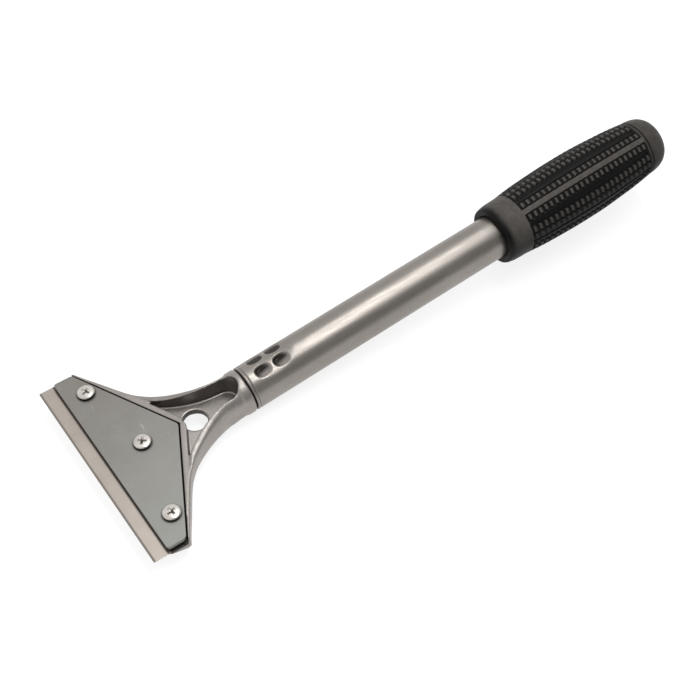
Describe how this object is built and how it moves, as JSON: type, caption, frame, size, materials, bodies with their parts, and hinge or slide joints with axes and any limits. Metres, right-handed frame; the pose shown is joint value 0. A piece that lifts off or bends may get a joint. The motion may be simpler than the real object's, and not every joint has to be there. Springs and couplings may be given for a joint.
{
  "type": "long-handled blade scraper",
  "caption": "Scraper with a straight steel blade held under a screwed clamp plate on a die-cast head, on a crimped steel tube with a ribbed black grip.",
  "frame": {"origin": "middle of the bounding box in plan, at the lowest point of the casting", "axes": "+X from the blade's edge to the grip's end, +Y along the blade, +Z out of the clamp plate's outer face"},
  "size_m": [0.3056, 0.1006, 0.044],
  "materials": {
    "cast_aluminium": "satin die casting",
    "blade_steel": "ground strip",
    "plate_steel": "satin plated",
    "screw_steel": "bright plated",
    "tube_steel": "satin plated tube",
    "grip_rubber": "moulded, matt"
  },
  "bodies": {
    "handle": {"head_casting": "cast_aluminium", "handle_tube": "tube_steel", "grip": "grip_rubber"},
    "clamp": {"clamp_plate": "plate_steel"},
    "blade_strip": {"blade": "blade_steel"},
    "left_screw": {"screw_left": "screw_steel"},
    "middle_screw": {"screw_center": "screw_steel"},
    "right_screw": {"screw_right": "screw_steel"}
  },
  "joints": [
    {"name": "clamp_lift", "type": "slide", "parent": "handle", "child": "clamp", "axis": [0, 0, 1], "range_m": [0, 0.0014]},
    {"name": "middle_screw_turn", "type": "hinge", "parent": "clamp", "child": "middle_screw", "pos_m": [-0.12974, 0, 0.00914], "axis": [0, 0, 1], "range_deg": [0, 721]},
    {"name": "left_screw_turn", "type": "hinge", "parent": "clamp", "child": "left_screw", "pos_m": [-0.13684, 0.0365, 0.00914], "axis": [0, 0, 1], "range_deg": [0, 721]},
    {"name": "right_screw_turn", "type": "hinge", "parent": "clamp", "child": "right_screw", "pos_m": [-0.13684, -0.0365, 0.00914], "axis": [0, 0, 1], "range_deg": [0, 721]},
    {"name": "blade_slide", "type": "slide", "parent": "handle", "child": "blade_strip", "axis": [-1, 0, 0], "range_m": [0, 0.02]}
  ],
  "couplings": [
    {"joint": "middle_screw_turn", "follows": "clamp_lift", "rad_per_m": 8976},
    {"joint": "left_screw_turn", "follows": "clamp_lift", "rad_per_m": 8976},
    {"joint": "right_screw_turn", "follows": "clamp_lift", "rad_per_m": 8976}
  ]
}
